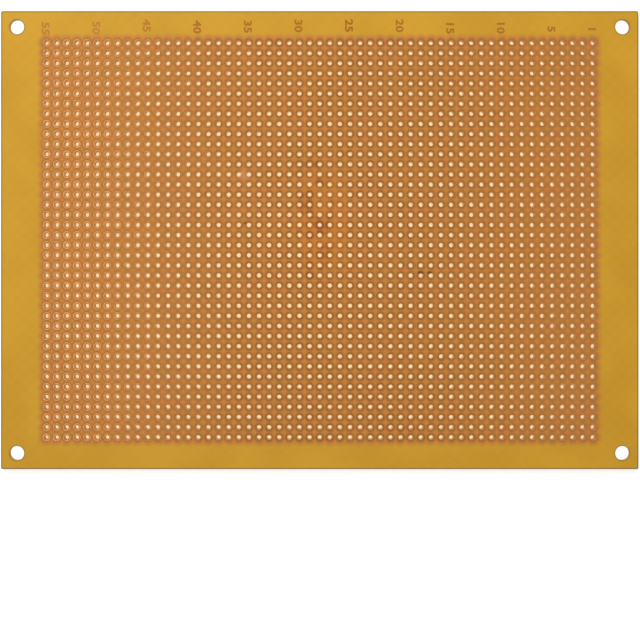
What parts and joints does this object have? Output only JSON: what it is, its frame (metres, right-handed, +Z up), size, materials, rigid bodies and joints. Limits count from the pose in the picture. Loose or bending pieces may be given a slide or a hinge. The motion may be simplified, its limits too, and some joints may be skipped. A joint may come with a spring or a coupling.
{
  "type": "prototype board",
  "caption": "Rectangular single-sided prototyping board: ochre laminate with a grid of drilled round copper pads and a screw hole in each corner.",
  "frame": {"origin": "middle of the underside, on the surface that the board lies on", "axes": "+X along the long edge, +Y across the board towards the edge with the column numbers, +Z up out of the copper side"},
  "size_m": [0.16, 0.115, 0.0016],
  "materials": {
    "laminate": "satin translucent resin laminate, yellow ochre",
    "copper": "etched copper foil under a thin flux lacquer, lightly oxidised"
  },
  "bodies": {
    "root": {"board": "laminate", "copper_pads_top_row": "copper", "copper_pads_bottom_row": "copper"}
  },
  "joints": []
}
